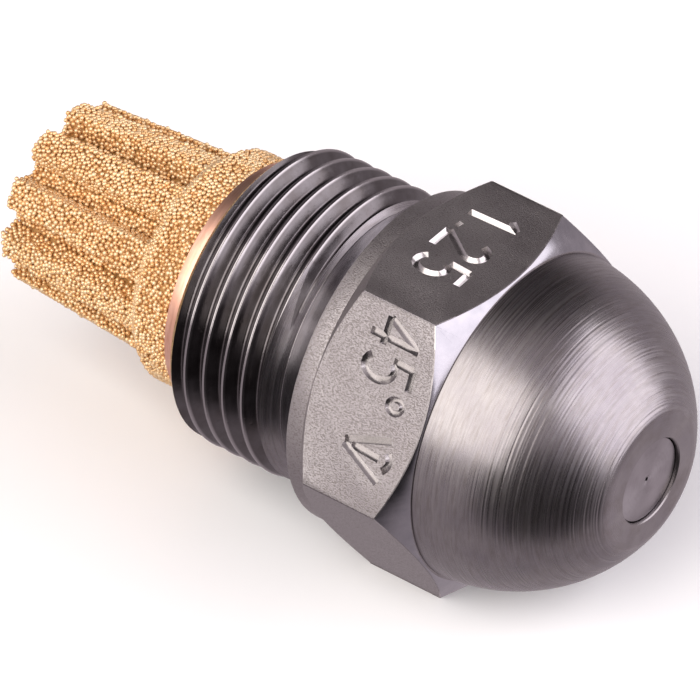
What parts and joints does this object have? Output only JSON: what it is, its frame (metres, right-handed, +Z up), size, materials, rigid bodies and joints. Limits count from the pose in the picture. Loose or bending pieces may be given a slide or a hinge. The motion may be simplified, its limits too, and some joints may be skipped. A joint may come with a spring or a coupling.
{
  "type": "oil burner nozzle",
  "caption": "Threaded hexagon-headed pressure nozzle with a domed spray tip and a fluted sintered bronze filter.",
  "frame": {"origin": "on the nozzle's axis, in the plane where the round collar of the head ends and the 45 degree sealing cone starts", "axes": "+X along the nozzle's axis in the spray direction, from the filter to the domed nose; +Z up through the middle of one hexagon flat; +Y towards a hexagon corner"},
  "size_m": [0.0332, 0.0184, 0.016],
  "materials": {
    "turned_steel": "turned stainless steel with fine lathe lines on the dome and satin hexagon flats",
    "disc_steel": "finely faced hardened steel with concentric marks",
    "insert_brass": "bright machined brass",
    "ferrule_copper": "smooth salmon copper, lightly burnished",
    "sintered_bronze": "porous sintered bronze of small round beads"
  },
  "bodies": {
    "root": {"nozzle_body": "turned_steel", "orifice_disc": "disc_steel", "swirl_distributor": "insert_brass", "lock_screw": "insert_brass", "filter_ferrule": "ferrule_copper", "filter_element": "sintered_bronze"}
  },
  "joints": []
}
